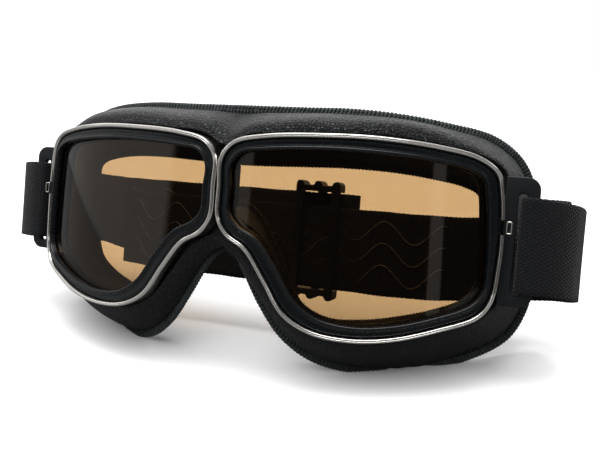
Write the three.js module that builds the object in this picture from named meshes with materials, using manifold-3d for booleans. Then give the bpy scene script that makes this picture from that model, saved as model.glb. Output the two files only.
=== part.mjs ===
// Motorcycle goggles: two framed, curved lenses on a stitched leather face pad, held by an elastic strap.
// Millimetres, +Z up, +X to the wearer's left, +Y towards the wearer. The goggles stand on the two lower
// lobes of the pad, leaning back a little. The origin is under the middle of the whole object.
import * as THREE from "three";
import Module from "manifold-3d";
import { mergeVertices } from "three/addons/utils/BufferGeometryUtils.js";

const wasm = await Module();
wasm.setup();

// ---------------------------------------------------------------- driving dimensions
const LEAN_DEG = 12.6; // how far the standing goggles lean back
const GAP = 0.3; // clearance between touching pieces

const FRONT_Y = -25.9; // foremost line of the frames, at the middle
const FRONT_RADIUS = 195; // radius of the wrap-round front at the middle
const FRONT_QUARTIC = 1.23e-7; // how the wrap tightens towards the temples

const LENS_OUT = 1.35; // how far the lens reaches past the opening, behind the bezel's lip
const LENS_DEPTH = [2.5, 4.1]; // each layer of a frame, as depths behind its front
const SEAL_DEPTH = [4.4, 5.6];
const BEZEL_DEPTH = 6.0;
const REAR_RING_DEPTH = [6.3, 7.5];
const PAD_DEPTH = 8.0;

const LEATHER = 1.0; // thickness of the pad's cover and lining
const COVER_START = { depth: 5.5, out: 0.5, temple: 1.2 }; // where the cover meets the frames
const ROLL_BULGE = 2.0; // how far the cover swells between frame and rim
// The pad's face side: its middle, what it sweeps back by at the temples, and its slant with height.
const FACE = { middle: -4, sweep: 22, turn: 10, halfWidth: 88, slant: 0.08 };
// How far the pad's rim stands forward of the face side, beside the nose and along the brow.
const RIM_FORWARD = {
  nose: { most: 12.5, x: 12, spread: 30, from: 6, to: -22 },
  brow: { most: 3.5, x: 55, spread: 25, from: 0, to: 25 },
};
const THREAD_R = 0.65; // radius of the whip-stitched edge
const THREAD_SIDES = 5;
const REST_HEIGHT = -53.6; // height of the pad's flattened underside, before the origin is set

const STRAP_WIDTH = 30;
const STRAP_THICK = 1.3;
const STRAP_Z = -7.2; // middle of the strap where it is sewn to its bracket
const STRAP = {
  // each strap's layer and middle height at the back, and the rest of its way across: x, and how far behind;
  // the left strap has the long loose end, which follows the right strap round towards the temple
  left: { rearY: 17.6, rearZ: -15.5, across: [[-47, 0], [-51, 0.5], [-58, 3.2], [-66, 6.2]] },
  right: { rearY: 19.25, rearZ: -10.5, across: [[-35, 0]] },
};
const STRAIGHT_X = 47; // the straps run straight across the back between here and the other side
// the last two points before the straight run, as how far out and how far behind it they lie
const STRAP_LEAD_IN = [[11, 3.2], [4, 0.5]];
const STRAP_SINK = [10.8, 19.7]; // points of its path between which a strap sinks to its height at the back
const STRAP_STEPS = 66;
const TACK = { at: 0.96, width: 1.6, length: 27 }; // at is counted in points of the strap's path
const TACK_MEETS = [8.4, 15.6]; // the tack's far side is on the main run, between these points

const BRACKET = { inner: 86.2, outer: 96.6, top: 14.1, bottom: -26.6, front: 3.5, thick: 2, corner: 4 };
const SLOT = { inner: 90.2, outer: 92.8, top: 8.9, bottom: -23.3, corner: 1.1 };
const CLIP = { top: 0, bottom: -4.1, inner: 87.45, outer: 89.35, front: 0.45, wire: 0.5, corner: 0.4 };
const BRIDGE = { half: 4.2, bottom: -3.2, top: 12, corner: 1.5, thick: 1.4 }; // joins the two rear rings
const TRIM_GAP = [0.35, -4.45]; // the trim band is open between these heights, at the temple

const SLIDER = { x: 20, width: 17, rail: 2.2, barWidth: 3.2, thick: 1.5, clear: 0.35, lobe: 1.6 };

const RING_STEPS = 44;
const PAD_STEPS = 64;
const LENS_COLUMNS = 16;
const LENS_END = 0.25; // the first and last columns stand this far inside the outline's ends

// Lens opening and middle line of the trim band, for the wearer's left eye: matching points, [x, z].
const OPENING = [
  [4.9, 3.5], [4.7, 10.4], [7.7, 14.5], [15, 15.8], [35, 17.2], [50.6, 17.2], [66.5, 16.3], [75.5, 14.9],
  [80.6, 12], [82, 6.5], [82.9, -3.4], [83.4, -14], [82.9, -22.5], [79.5, -26.8], [70, -31], [58, -34.5],
  [46.5, -35.8], [36, -34.2], [28.6, -29.4], [22, -20], [14.9, -11.6], [8.2, -8], [5.3, -4.6],
];
const TRIM_LINE = [
  [1.15, 4], [1.3, 13], [5.2, 17.8], [15, 20.2], [35, 21.6], [51, 21.8], [68, 20.5], [78.5, 18.4],
  [84, 14.6], [85.8, 8], [86.7, -3.5], [86.5, -14], [85.2, -25], [81.8, -30.3], [71, -34.9], [58.4, -38.7],
  [45.7, -40.1], [34, -38.7], [25.3, -34], [18.3, -24.2], [11.5, -15.3], [4.8, -11.2], [1.6, -6.4],
];

// The pad, from the middle of the brow round the temple to the nose arch: matching points, [x, z].
const PAD_FRONT = [
  [0, 17], [8, 20.8], [20, 22], [35, 22.9], [52, 23.1], [68, 21.8], [79.5, 19.5], [85.5, 15.5], [87.3, 6],
  [88, -5], [87.8, -15], [86.3, -26.5], [80.5, -32.6], [70, -36.6], [57, -40.3], [44.5, -41.5], [32.5, -39.4],
  [24, -34.3], [17, -25], [10.2, -16.2], [4, -12.3], [0, -11.5],
];
const PAD_RIM = [
  [0, 30.4], [9, 30.4], [22, 30.5], [36, 30.7], [51.8, 30], [66.5, 28.5], [79.6, 26.2], [88.3, 19.9],
  [93.3, 9], [94.7, -4], [94.5, -16], [93.4, -30], [88, -41], [75.4, -48.4], [59.8, -52.9], [45, -53.6],
  [31.8, -50.8], [21.5, -43.6], [13.6, -32.8], [7.6, -22.6], [3.6, -17.2], [0, -15.6],
];
const PAD_MOUTH = [
  [0, 12.7], [8, 12.9], [20, 13.4], [35, 14], [50, 13.8], [63, 12.6], [72, 11], [77, 8.5], [79, 3],
  [79.3, -5], [79.2, -13], [78.5, -22], [75, -28.5], [66, -33], [55, -36.3], [43, -38.6], [31.5, -38.8],
  [22.5, -34.5], [17.5, -26], [12, -14.5], [6.5, -5.5], [0, -1.5],
];
const PAD_INNER = [
  [0, 13.5], [8, 15.5], [20, 17], [35, 18], [50, 18], [64, 17], [73, 15.5], [78.5, 12], [80, 6],
  [80.7, -3.5], [80.8, -13], [80, -22], [76.5, -27.5], [67, -32], [56.5, -35], [45.5, -36.3], [34, -34.5],
  [26.5, -29.5], [20, -20], [13.5, -11.5], [7, -7.2], [0, -4.5],
];

// Plan of the strap's middle line on the wearer's left, from the sewn tail to the straight rear run: [x, y].
const STRAP_TAIL = [[105.3, 14.2], [101, 9.2], [96.6, 6.8], [93, 6.5]];
const STRAP_TURN = { x: 92.75, y: 4.5, r: 2.05, flat: 0.62 }; // half turn round the bracket's outer bar
const STRAP_SIDE = [
  [96.6, 2.4], [102.2, 4.6], [107.6, 10.6], [109.9, 19.5], [108.4, 29], [101.6, 37.4], [91, 39.6],
  [80, 34.6], [68, 26.2],
];

// ---------------------------------------------------------------- surfaces and curves
const vec = (x, y, z) => new THREE.Vector3(x, y, z);
const smoothstep = THREE.MathUtils.smoothstep;
const LEAN = THREE.MathUtils.degToRad(LEAN_DEG);
const UP = vec(0, -Math.sin(LEAN), Math.cos(LEAN));

const frontY = (x) => FRONT_Y + x ** 2 / (2 * FRONT_RADIUS) + FRONT_QUARTIC * x ** 4;
const frontSlope = (x) => x / FRONT_RADIUS + 4 * FRONT_QUARTIC * x ** 3;
// y of the surface that lies depth behind the front
const behindFront = (x, depth) => frontY(x) + depth * Math.hypot(1, frontSlope(x));
// y of the face side of the pad, curved to a forehead and cheeks
const faceY = (x, z) =>
  FACE.middle +
  FACE.sweep * (x / FACE.halfWidth) ** 2 +
  FACE.turn * (x / FACE.halfWidth) ** 4 -
  FACE.slant * z;
// y of the pad's rim, which stands forward of the face side in places
function rimY(x, z) {
  const forward = ({ most, x: middle, spread, from, to }) => {
    const share = from > to ? 1 - smoothstep(z, to, from) : smoothstep(z, from, to);
    return most * share * Math.exp(-(((Math.abs(x) - middle) / spread) ** 2));
  };
  return faceY(x, z) - forward(RIM_FORWARD.nose) - forward(RIM_FORWARD.brow);
}

const closedCurve = (points) =>
  new THREE.CatmullRomCurve3(points.map(([x, z]) => vec(x, 0, z)), true, "centripetal");

// A whole outline from its half: the points with x = 0 stay single.
function wholeOutline(half) {
  const other = half.slice(1, -1).reverse();
  return closedCurve([...half, ...other.map(([x, z]) => [-x, z])]);
}

// ---------------------------------------------------------------- mesh building
function geometryOf(points, triangles) {
  const geometry = new THREE.BufferGeometry();
  const numbers = points.flatMap((p) => p.toArray());
  geometry.setAttribute("position", new THREE.Float32BufferAttribute(numbers, 3));
  geometry.setIndex(triangles);
  return facingOut(geometry);
}

// Reverses the faces of a closed geometry when its volume comes out negative.
function facingOut(geometry) {
  const at = geometry.getAttribute("position");
  const index = geometry.index.array;
  let volume = 0;
  for (let i = 0; i < index.length; i += 3) {
    const [a, b, c] = [0, 1, 2].map((k) => new THREE.Vector3().fromBufferAttribute(at, index[i + k]));
    volume += a.dot(b.cross(c));
  }
  if (volume < 0) geometry.setIndex(Array.from(index).reverse());
  geometry.computeVertexNormals();
  return geometry;
}

// A closed ring: sections[i] is the polygon at step i, every one with the same number of points. Each
// four-sided patch is split along its shorter diagonal.
function ring(sections) {
  const size = sections[0].length;
  const count = sections.length;
  const points = sections.flat();
  const triangles = [];
  for (let i = 0; i < count; i++)
    for (let k = 0; k < size; k++) {
      const a = i * size + k;
      const b = i * size + ((k + 1) % size);
      const c = ((i + 1) % count) * size + ((k + 1) % size);
      const d = ((i + 1) % count) * size + k;
      const shorter = points[a].distanceTo(points[c]) < points[b].distanceTo(points[d]);
      triangles.push(...(shorter ? [a, b, c, a, c, d] : [a, b, d, b, c, d]));
    }
  return geometryOf(points, triangles);
}

// An open sweep with flat ends, for convex sections.
function bar(sections) {
  const size = sections[0].length;
  const last = (sections.length - 1) * size;
  const triangles = [];
  for (let i = 0; i + 1 < sections.length; i++)
    for (let k = 0; k < size; k++) {
      const a = i * size + k;
      const b = i * size + ((k + 1) % size);
      triangles.push(a, b, b + size, a, b + size, a + size);
    }
  for (let k = 1; k + 1 < size; k++) triangles.push(0, k + 1, k, last, last + k, last + k + 1);
  return geometryOf(sections.flat(), triangles);
}

// A geometry with its shared corners joined, and nothing but their positions.
function merged(geometry) {
  const bare = geometry.clone();
  bare.deleteAttribute("normal");
  bare.deleteAttribute("uv");
  return mergeVertices(bare, 1e-4);
}

function mirrored(geometry) {
  const copy = merged(geometry).scale(-1, 1, 1);
  copy.setIndex(Array.from(copy.index.array).reverse());
  copy.computeVertexNormals();
  return copy;
}

// A box between two corners.
function block(low, high) {
  const size = high.map((h, i) => h - low[i]);
  const middle = high.map((h, i) => (h + low[i]) / 2);
  return new THREE.BoxGeometry(...size).translate(...middle);
}

function solidOf(geometry) {
  const shell = merged(geometry);
  return new wasm.Manifold(
    new wasm.Mesh({
      numProp: 3,
      vertProperties: shell.getAttribute("position").array,
      triVerts: new Uint32Array(shell.index.array),
    }),
  );
}

function geometryFrom(solid) {
  const mesh = solid.getMesh();
  const geometry = new THREE.BufferGeometry();
  geometry.setAttribute("position", new THREE.BufferAttribute(new Float32Array(mesh.vertProperties), 3));
  geometry.setIndex(Array.from(mesh.triVerts));
  geometry.computeVertexNormals();
  return geometry;
}

// ---------------------------------------------------------------- the two lens frames
const openingCurve = closedCurve(OPENING);
const trimCurve = closedCurve(TRIM_LINE);

// The place on a frame at parameter t: line 0 is the lens opening and line 1 the trim's middle line,
// out is millimetres outwards from that line, and depth is millimetres behind the front.
function framePoint(t, [line, out, depth]) {
  const curve = line === 0 ? openingCurve : trimCurve;
  const at = curve.getPoint(t);
  const along = curve.getTangent(t);
  const slope = frontSlope(at.x);
  const stretch = Math.hypot(1, slope);
  const outward = vec(-along.z, 0, along.x).normalize();
  const x = at.x + (outward.x * out) / stretch;
  const z = at.z + outward.z * out;
  return vec(x - (depth * slope) / stretch, frontY(x) + depth / stretch, z);
}

const frameRing = (section) =>
  ring(
    Array.from({ length: RING_STEPS }, (_, i) => section.map((point) => framePoint(i / RING_STEPS, point))),
  );

function bezel() {
  return frameRing([
    [0, 0, 0.6], [0, 0.45, 0.05], [0, 1.1, 0.1], [0, 1.6, 0.8],
    [1, -1.05, 0.9], [1, -1.05, 1.6], [1, 0.05, 1.6], [1, 0.05, BEZEL_DEPTH],
    [0, 1.9, BEZEL_DEPTH], [0, 1.9, LENS_DEPTH[0] - GAP], [0, 0, LENS_DEPTH[0] - GAP],
  ]);
}

// A chrome band with a rounded front edge and a skirt down the frame's side, open at the temple.
function trim() {
  const section = [
    [1, -0.7, 1.3], [1, -0.7, 0.2], [1, -0.25, -0.25], [1, 0.35, -0.25], [1, 0.75, 0.3], [1, 0.75, 5],
    [1, 0.35, 5], [1, 0.35, 1.3],
  ];
  const whole = frameRing(section);
  const cut = block([80, -30, TRIM_GAP[1]], [92, 20, TRIM_GAP[0]]);
  return geometryFrom(solidOf(whole).subtract(solidOf(cut)));
}

function lensSeal() {
  const [near, far] = SEAL_DEPTH;
  return frameRing([[0, 0.5, near], [0, 1.6, near], [0, 1.6, far], [0, 0.5, far]]);
}

function rearRing() {
  const [near, far] = REAR_RING_DEPTH;
  return frameRing([[0, 0.4, near], [1, -0.3, near], [1, -0.3, far], [0, 0.4, far]]);
}

// A curved plate, built of upright columns across the lens opening.
function lens() {
  const edge = Array.from({ length: 240 }, (_, i) => framePoint(i / 240, [0, LENS_OUT, 0]));
  const low = Math.min(...edge.map((p) => p.x)) + LENS_END;
  const high = Math.max(...edge.map((p) => p.x)) - LENS_END;
  const heightsAt = (x) => {
    const crossings = [];
    edge.forEach((p, i) => {
      const q = edge[(i + 1) % edge.length];
      if (p.x <= x !== q.x <= x) crossings.push(p.z + ((x - p.x) / (q.x - p.x)) * (q.z - p.z));
    });
    return [Math.min(...crossings), Math.max(...crossings)];
  };
  const place = (x, z, depth) => {
    const slope = frontSlope(x);
    const stretch = Math.hypot(1, slope);
    return vec(x - (depth * slope) / stretch, frontY(x) + depth / stretch, z);
  };
  const columns = Array.from({ length: LENS_COLUMNS }, (_, i) => {
    const x = low + ((high - low) * (1 - Math.cos((Math.PI * i) / (LENS_COLUMNS - 1)))) / 2;
    const [bottom, top] = heightsAt(x);
    const [near, far] = LENS_DEPTH;
    return [place(x, bottom, near), place(x, top, near), place(x, top, far), place(x, bottom, far)];
  });
  return bar(columns);
}

function noseBridge() {
  const { half, bottom, top, corner, thick } = BRIDGE;
  const front = behindFront(0, REAR_RING_DEPTH[1] + GAP);
  return upright(roundedRectangle(-half, bottom, half, top, corner), front, front + thick);
}

// ---------------------------------------------------------------- flat plates
// A rounded rectangle in the x, z plane.
function roundedRectangle(x0, z0, x1, z1, r, outline = new THREE.Shape()) {
  outline.moveTo(x0 + r, z0);
  outline.lineTo(x1 - r, z0);
  outline.absarc(x1 - r, z0 + r, r, -Math.PI / 2, 0, false);
  outline.lineTo(x1, z1 - r);
  outline.absarc(x1 - r, z1 - r, r, 0, Math.PI / 2, false);
  outline.lineTo(x0 + r, z1);
  outline.absarc(x0 + r, z1 - r, r, Math.PI / 2, Math.PI, false);
  outline.lineTo(x0, z0 + r);
  outline.absarc(x0 + r, z0 + r, r, Math.PI, Math.PI * 1.5, false);
  return outline;
}

// A shape drawn in x, z, made solid between two values of y.
function upright(shape, near, far) {
  const form = { depth: far - near, bevelEnabled: false, curveSegments: 4 };
  return new THREE.ExtrudeGeometry(shape, form).rotateX(Math.PI / 2).translate(0, far, 0);
}

// The plate beside each frame that carries the strap, with a slot for it.
function strapBracket() {
  const { inner, outer, top, bottom, front, thick, corner } = BRACKET;
  const shape = new THREE.Shape();
  shape.moveTo(inner, bottom);
  shape.lineTo(outer - corner, bottom);
  shape.absarc(outer - corner, bottom + corner, corner, -Math.PI / 2, 0, false);
  shape.lineTo(outer, top - corner);
  shape.absarc(outer - corner, top - corner, corner, 0, Math.PI / 2, false);
  shape.lineTo(inner, top);
  const slot = new THREE.Path();
  shape.holes.push(roundedRectangle(SLOT.inner, SLOT.bottom, SLOT.outer, SLOT.top, SLOT.corner, slot));
  return upright(shape, front, front + thick);
}

// A wire loop that closes the open ends of the trim band.
function clip() {
  const { top, bottom, inner, outer, front, wire, corner } = CLIP;
  const shape = roundedRectangle(inner, bottom, outer, top, corner);
  const hole = new THREE.Path();
  roundedRectangle(inner + wire, bottom + wire, outer - wire, top - wire, corner - 0.25, hole);
  shape.holes.push(hole);
  return upright(shape, front, front + wire);
}

// ---------------------------------------------------------------- the face pad
const padGuides = [PAD_FRONT, PAD_RIM, PAD_MOUTH, PAD_INNER].map(wholeOutline);

// Lifts a point that would be under the surface the goggles stand on.
function restOn(point, clearance = 0) {
  const short = REST_HEIGHT + clearance - point.dot(UP);
  return short > 0 ? point.addScaledVector(UP, short) : point;
}

// The pad's section at parameter t, as named corners: the cover runs from the frame over the roll to the
// rim, the lining from the rim over the mouth to the inside of the frame.
function padSection(t) {
  const [front, rim, mouth, inner] = padGuides.map((curve) => curve.getPoint(t));
  const frontAlong = padGuides[0].getTangent(t);
  front.addScaledVector(vec(-frontAlong.z, 0, frontAlong.x).normalize(), COVER_START.out);
  const temple = COVER_START.temple * smoothstep(Math.abs(front.x), 78, 86);
  const start = vec(front.x, behindFront(front.x, COVER_START.depth) + temple, front.z);
  const back = vec(front.x, behindFront(front.x, PAD_DEPTH), front.z);
  const rimAt = vec(rim.x, rimY(rim.x, rim.z), rim.z);
  const mouthAt = vec(mouth.x, faceY(mouth.x, mouth.z), mouth.z);
  const innerAt = vec(inner.x, behindFront(inner.x, PAD_DEPTH + LEATHER), inner.z);
  const along = padGuides[1].getTangent(t);
  const across = rimAt.clone().sub(start);
  const swell = across.clone().cross(along).normalize();
  if (swell.dot(rimAt.clone().sub(mouthAt)) < 0) swell.negate();
  const roll = (share, bulge) => start.clone().addScaledVector(across, share).addScaledVector(swell, bulge);
  const cover = [
    start, roll(0.22, ROLL_BULGE * 0.75), roll(0.5, ROLL_BULGE), roll(0.82, ROLL_BULGE * 0.6), rimAt,
  ].map((point) => restOn(point.clone()));
  const outline = [back, ...cover.slice(1), mouthAt, innerAt];
  const area = outline.reduce(
    (sum, point, i) => sum.add(point.clone().cross(outline[(i + 1) % outline.length])), vec(0, 0, 0),
  );
  along.multiplyScalar(Math.sign(area.dot(along))); // so that every line runs the same way round
  return { cover, outline, mouth: mouthAt, inner: innerAt, along };
}

// Moves every point of a section's line inwards, square to the line and in the section's plane.
function insetLine(line, along, distance, closed = false) {
  const square = (from, to) => along.clone().cross(to.clone().sub(from)).normalize();
  return line.map((point, i) => {
    const before = line[i - 1] ?? (closed ? line[line.length - 1] : null);
    const after = line[i + 1] ?? (closed ? line[0] : null);
    const first = square(before ?? point, before ? point : after);
    const second = square(after ? point : before, after ?? point);
    const sum = first.clone().add(second).normalize();
    return point.clone().addScaledVector(sum, distance / Math.max(0.5, sum.dot(first)));
  });
}

const padRing = (sectionOf) =>
  ring(Array.from({ length: PAD_STEPS }, (_, i) => sectionOf(padSection(i / PAD_STEPS))));

function leatherCover() {
  return padRing(({ cover, along }) => [...cover, ...insetLine(cover, along, LEATHER).reverse()]);
}

// How far from the rim the lining starts, so that both its faces clear the cover's cut edge.
function liningStart(cover, mouth) {
  const rim = cover[cover.length - 1];
  const towardsRoll = cover[cover.length - 2].clone().sub(rim).normalize();
  const cosine = towardsRoll.dot(mouth.clone().sub(rim).normalize());
  return (LEATHER + 2.4 * GAP + Math.max(0, cosine) * LEATHER) / Math.sqrt(1 - cosine ** 2);
}

function faceLining() {
  return padRing(({ cover, mouth, inner, along }) => {
    const rim = cover[cover.length - 1];
    const line = [rim, mouth, inner];
    const inside = insetLine(line, along, LEATHER);
    const clear = liningStart(cover, mouth) / rim.distanceTo(mouth);
    const start = rim.clone().lerp(mouth, clear);
    const insideStart = inside[0].lerp(inside[1], clear);
    return [start, mouth, inner, inside[2], inside[1], insideStart];
  });
}

function foamCore() {
  return padRing(({ outline, along }) => insetLine(outline, along, LEATHER + 2 * GAP, true));
}

// A stitched edge, on a corner of the pad.
function edgeThread(cornerOf) {
  return padRing((section) => {
    const { at, out } = cornerOf(section);
    const centre = at.clone().addScaledVector(out, THREAD_R + GAP + 0.1);
    const side = out.clone().cross(section.along).normalize();
    return Array.from({ length: THREAD_SIDES }, (_, k) => {
      const angle = (2 * Math.PI * k) / THREAD_SIDES;
      const spoke = out.clone().multiplyScalar(Math.cos(angle)).addScaledVector(side, Math.sin(angle));
      return restOn(centre.clone().addScaledVector(spoke, THREAD_R));
    });
  });
}

const BACKWARDS = vec(0, 1, 0);
const outerEdge = ({ cover, mouth }) => {
  const rim = cover[cover.length - 1];
  const outwards = rim.clone().sub(mouth).setY(0).normalize();
  const lifted = 1 - smoothstep(rim.dot(UP), REST_HEIGHT + 0.4, REST_HEIGHT + 3);
  const out = outwards.multiplyScalar(1 - lifted).addScaledVector(BACKWARDS, 0.6 + lifted).normalize();
  return { at: rim, out };
};
const innerEdge = ({ cover, mouth }) => {
  const inwards = mouth.clone().sub(cover[cover.length - 1]).setY(0).normalize();
  return { at: mouth, out: inwards.addScaledVector(BACKWARDS, 0.9).normalize() };
};

// ---------------------------------------------------------------- the strap
// The strap's middle line in plan, on the +X side: the sewn tail, a turn round the bracket's outer bar,
// the run round the pad's temple and the straight stretch at the back.
function strapPath({ rearY, across }) {
  const { x: turnX, y, r, flat } = STRAP_TURN;
  const turn = Array.from({ length: 7 }, (_, i) => {
    const angle = Math.PI / 2 + (Math.PI * i) / 6;
    return [turnX + r * flat * Math.cos(angle), y + r * Math.sin(angle)];
  });
  const rear = [
    ...STRAP_LEAD_IN.map(([out, behind]) => [STRAIGHT_X + out, rearY + behind]),
    [STRAIGHT_X, rearY],
    [(STRAIGHT_X + across[0][0]) / 2, rearY],
    ...across.map(([x, behind]) => [x, rearY + behind]),
  ];
  const points = [...STRAP_TAIL, ...turn, ...STRAP_SIDE, ...rear];
  return new THREE.CatmullRomCurve3(points.map(([px, py]) => vec(px, py, 0)), false, "centripetal");
}

// A flat band standing on edge, which sinks from its bracket to its height at the back.
function strap(piece) {
  const path = strapPath(piece);
  return bar(
    Array.from({ length: STRAP_STEPS + 1 }, (_, i) => {
      const share = i / STRAP_STEPS;
      const at = path.getPoint(share);
      const along = path.getTangent(share);
      const across = vec(-along.y, along.x, 0).normalize().multiplyScalar(STRAP_THICK / 2);
      const sunk = smoothstep(share * (path.points.length - 1), ...STRAP_SINK);
      const middle = THREE.MathUtils.lerp(STRAP_Z, piece.rearZ, sunk);
      return [[-1, -1], [1, -1], [1, 1], [-1, 1]].map(([a, b]) =>
        vec(at.x + a * across.x, at.y + a * across.y, middle + (b * STRAP_WIDTH) / 2),
      );
    }),
  );
}

// The bar of thread that holds the strap's tail to its main run.
function strapTack(piece) {
  const path = strapPath(piece);
  const spans = path.points.length - 1;
  const tail = path.getPoint(TACK.at / spans);
  const along = path.getTangent(TACK.at / spans).setZ(0).normalize();
  const towards = vec(along.y, -along.x, 0);
  const [low, high] = TACK_MEETS;
  const meets = Array.from({ length: 61 }, (_, i) => path.getPoint((low + ((high - low) * i) / 60) / spans));
  const nearest = meets.reduce((a, b) => (a.distanceTo(tail) < b.distanceTo(tail) ? a : b));
  if (towards.dot(nearest.clone().sub(tail)) < 0) towards.negate();
  const first = STRAP_THICK / 2 + GAP;
  const last = nearest.distanceTo(tail) - STRAP_THICK / 2 - GAP - 0.1;
  const corner = (a, b, z) =>
    tail.clone().addScaledVector(along, (a * TACK.width) / 2).addScaledVector(towards, b).setZ(z);
  const level = (z) => [corner(-1, first, z), corner(1, first, z), corner(1, last, z), corner(-1, last, z)];
  return bar([level(STRAP_Z - TACK.length / 2), level(STRAP_Z + TACK.length / 2)]);
}

// A three-bar slider round both layers of the strap: two bars in front of them and one behind.
function slider() {
  const { x, width, rail, barWidth, thick, clear, lobe } = SLIDER;
  const inFront = STRAP.left.rearY - STRAP_THICK / 2 - clear;
  const behind = STRAP.right.rearY + STRAP_THICK / 2 + clear;
  const top = STRAP.right.rearZ + STRAP_WIDTH / 2 + clear;
  const bottom = STRAP.left.rearZ - STRAP_WIDTH / 2 - clear;
  const bars = [
    [x - width / 2 + barWidth / 2, inFront - thick, inFront],
    [x, behind, behind + thick],
    [x + width / 2 - barWidth / 2, inFront - thick, inFront],
  ];
  const pieces = [
    block([x - width / 2, inFront - thick, top], [x + width / 2, behind + thick, top + rail]),
    block([x - width / 2, inFront - thick, bottom - rail], [x + width / 2, behind + thick, bottom]),
  ];
  for (const [middle, near, far] of bars) {
    const half = barWidth / 2;
    pieces.push(block([middle - half, near, bottom - rail / 2], [middle + half, far, top + rail / 2]));
    for (const end of [top + rail, bottom - rail]) {
      const round = new THREE.CylinderGeometry(lobe, lobe, behind - inFront + 2 * thick, 12);
      pieces.push(round.translate(middle, (inFront + behind) / 2, end));
    }
  }
  return geometryFrom(pieces.map(solidOf).reduce((sum, piece) => sum.add(piece)));
}

// ---------------------------------------------------------------- the assembly
function material(color, roughness, metalness = 0) {
  return new THREE.MeshStandardMaterial({ color, roughness, metalness });
}
const LOOKS = {
  leather: material(0x17181a, 0.5),
  lining: material(0x1b1c1e, 0.7),
  foam: material(0x2a2a2c, 0.95),
  thread: material(0x1e2221, 0.8),
  blackPlastic: material(0x121416, 0.35),
  mattPlastic: material(0x17191b, 0.6),
  chrome: material(0xd8d6d2, 0.12, 1),
  lens: material(0x5a3f26, 0.08),
  rubber: material(0x0e0e0f, 0.8),
  webbing: material(0x131314, 0.9),
};

const goggles = new THREE.Group();
goggles.name = "goggles";
const body = new THREE.Group(); // the goggles upright, before they lean back
goggles.add(body);

function add(name, geometry, look) {
  const mesh = new THREE.Mesh(geometry, LOOKS[look]);
  mesh.name = name;
  body.add(mesh);
}

function addPair(name, geometry, look) {
  add(`${name}_left`, geometry, look);
  add(`${name}_right`, mirrored(geometry), look);
}

add("leather_cover", leatherCover(), "leather");
add("face_lining", faceLining(), "lining");
add("foam_core", foamCore(), "foam");
add("edge_thread_outer", edgeThread(outerEdge), "thread");
add("edge_thread_inner", edgeThread(innerEdge), "thread");
addPair("bezel", bezel(), "blackPlastic");
addPair("trim_band", trim(), "chrome");
addPair("lens", lens(), "lens");
addPair("lens_seal", lensSeal(), "rubber");
addPair("rear_ring", rearRing(), "blackPlastic");
add("nose_bridge", noseBridge(), "blackPlastic");
addPair("strap_bracket", strapBracket(), "mattPlastic");
addPair("clip", clip(), "chrome");
add("strap_left", strap(STRAP.left), "webbing");
add("strap_right", mirrored(strap(STRAP.right)), "webbing");
addPair("strap_tack", strapTack(STRAP.left), "thread");
add("slider", slider(), "mattPlastic");

body.rotation.x = -LEAN;
const extent = new THREE.Box3().setFromObject(goggles, true);
goggles.position.set(0, -(extent.min.y + extent.max.y) / 2, -extent.min.z);

export default goggles;
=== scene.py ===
import math
import random

import bmesh
import bpy
import numpy as np
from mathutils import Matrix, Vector


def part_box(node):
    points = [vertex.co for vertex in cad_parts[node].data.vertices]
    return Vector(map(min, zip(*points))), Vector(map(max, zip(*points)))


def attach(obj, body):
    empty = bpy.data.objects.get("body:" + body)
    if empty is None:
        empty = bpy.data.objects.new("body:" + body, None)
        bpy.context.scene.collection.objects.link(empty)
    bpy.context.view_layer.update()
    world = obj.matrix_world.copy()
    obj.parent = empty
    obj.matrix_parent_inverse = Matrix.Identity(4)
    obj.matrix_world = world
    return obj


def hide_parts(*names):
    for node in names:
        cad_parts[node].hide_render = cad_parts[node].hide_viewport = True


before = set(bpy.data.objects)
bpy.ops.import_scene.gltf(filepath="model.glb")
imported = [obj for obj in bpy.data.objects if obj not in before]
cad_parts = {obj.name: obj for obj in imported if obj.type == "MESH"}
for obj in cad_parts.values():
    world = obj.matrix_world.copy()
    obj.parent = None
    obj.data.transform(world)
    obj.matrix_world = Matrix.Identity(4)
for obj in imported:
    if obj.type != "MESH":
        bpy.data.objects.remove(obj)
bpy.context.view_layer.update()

random.seed(7)
MM = 0.001

# ---------------- the goggles' own frame
LEAN = math.radians(12.6)  # how far the goggles lean back
FRONT_Y, FRONT_RADIUS, FRONT_QUARTIC = -25.9, 195.0, 1.23e-7  # the curve that the frames' fronts follow
REST_HEIGHT = -53.6  # of the pad's underside, which is cut along the floor
REAR_RING_BACK = 7.5  # depth behind the front
BRIDGE_HALF, BRIDGE_LOW_Z, BRIDGE_TOP_Z, BRIDGE_THICK = 4.2, -3.2, 12.0, 1.4
GAP = 0.3  # between pieces that touch

# Lens opening and middle line of the trim band, for the wearer's left eye, as in the CAD: [x, z].
OPENING = [
    [4.9, 3.5], [4.7, 10.4], [7.7, 14.5], [15, 15.8], [35, 17.2], [50.6, 17.2], [66.5, 16.3], [75.5, 14.9],
    [80.6, 12], [82, 6.5], [82.9, -3.4], [83.4, -14], [82.9, -22.5], [79.5, -26.8], [70, -31], [58, -34.5],
    [46.5, -35.8], [36, -34.2], [28.6, -29.4], [22, -20], [14.9, -11.6], [8.2, -8], [5.3, -4.6],
]
TRIM_LINE = [
    [1.15, 4], [1.3, 13], [5.2, 17.8], [15, 20.2], [35, 21.6], [51, 21.8], [68, 20.5], [78.5, 18.4],
    [84, 14.6], [85.8, 8], [86.7, -3.5], [86.5, -14], [85.2, -25], [81.8, -30.3], [71, -34.9], [58.4, -38.7],
    [45.7, -40.1], [34, -38.7], [25.3, -34], [18.3, -24.2], [11.5, -15.3], [4.8, -11.2], [1.6, -6.4],
]
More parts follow.
